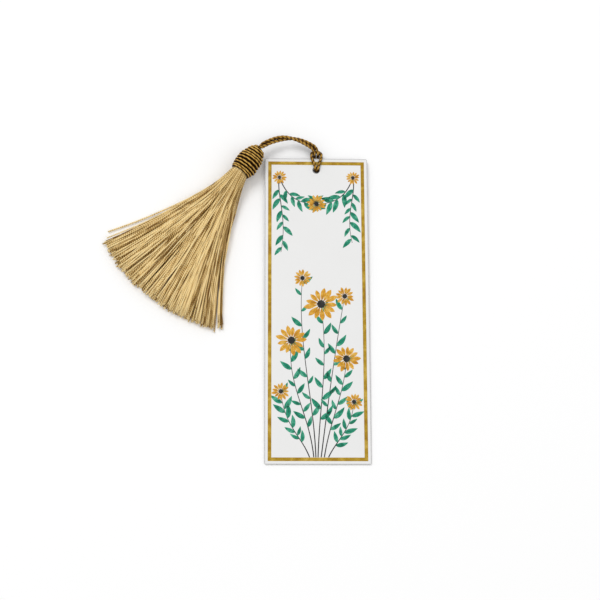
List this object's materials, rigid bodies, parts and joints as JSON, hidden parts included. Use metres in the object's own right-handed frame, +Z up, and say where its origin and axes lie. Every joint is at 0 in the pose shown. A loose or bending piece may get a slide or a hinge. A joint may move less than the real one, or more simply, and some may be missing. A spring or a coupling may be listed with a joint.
{
  "type": "tasselled bookmark",
  "caption": "Flat printed card bookmark with a gold border, a punched hole and a twisted cord tassel with a wound beehive head and a fanned thread skirt.",
  "frame": {"origin": "middle of the card's lower end, on the table that the bookmark lies on", "axes": "+Z up from the table out of the printed face, +Y along the card towards the tassel, +X to the right seen on the printed face"},
  "size_m": [0.1271, 0.1642, 0.0129],
  "materials": {
    "printed_paper": "smooth off-white card face with coloured print",
    "plain_paper": "smooth off-white card back",
    "board": "raw board edge",
    "gold_ink": "mottled gold ink",
    "cord": "twisted brown and gold cord",
    "winding_cord": "twisted brown and gold cord, wound",
    "mould_wood": "plain turned wood, covered",
    "thread": "silky beige-gold thread"
  },
  "bodies": {
    "card": {"core_board": "board", "front_sheet": "printed_paper", "back_sheet": "plain_paper", "gold_border": "gold_ink"},
    "hitch": {"hitch_loop": "cord"},
    "cord": {"cord_strand_left": "cord", "cord_strand_right": "cord"},
    "tassel": {"head_mould": "mould_wood", "head_winding": "winding_cord", "cord_end_upper": "cord", "cord_end_lower": "cord", "stopper_knot": "cord", "hank_tie": "thread", "skirt_threads": "thread"}
  },
  "joints": [
    {"name": "hitch_swing", "type": "hinge", "parent": "card", "child": "hitch", "pos_m": [0, 0.14639, 0.00164], "axis": [0, -0.0112, 0.9999], "range_deg": [-15, 2]},
    {"name": "cord_lift", "type": "hinge", "parent": "hitch", "child": "cord", "pos_m": [0, 0.1565, 0.005], "axis": [0, 0.9999, 0.0112], "range_deg": [0, 150]},
    {"name": "tassel_swing", "type": "hinge", "parent": "cord", "child": "tassel", "pos_m": [-0.0275, 0.157, 0.00645], "axis": [0, 0, 1], "range_deg": [-45, 8]}
  ]
}
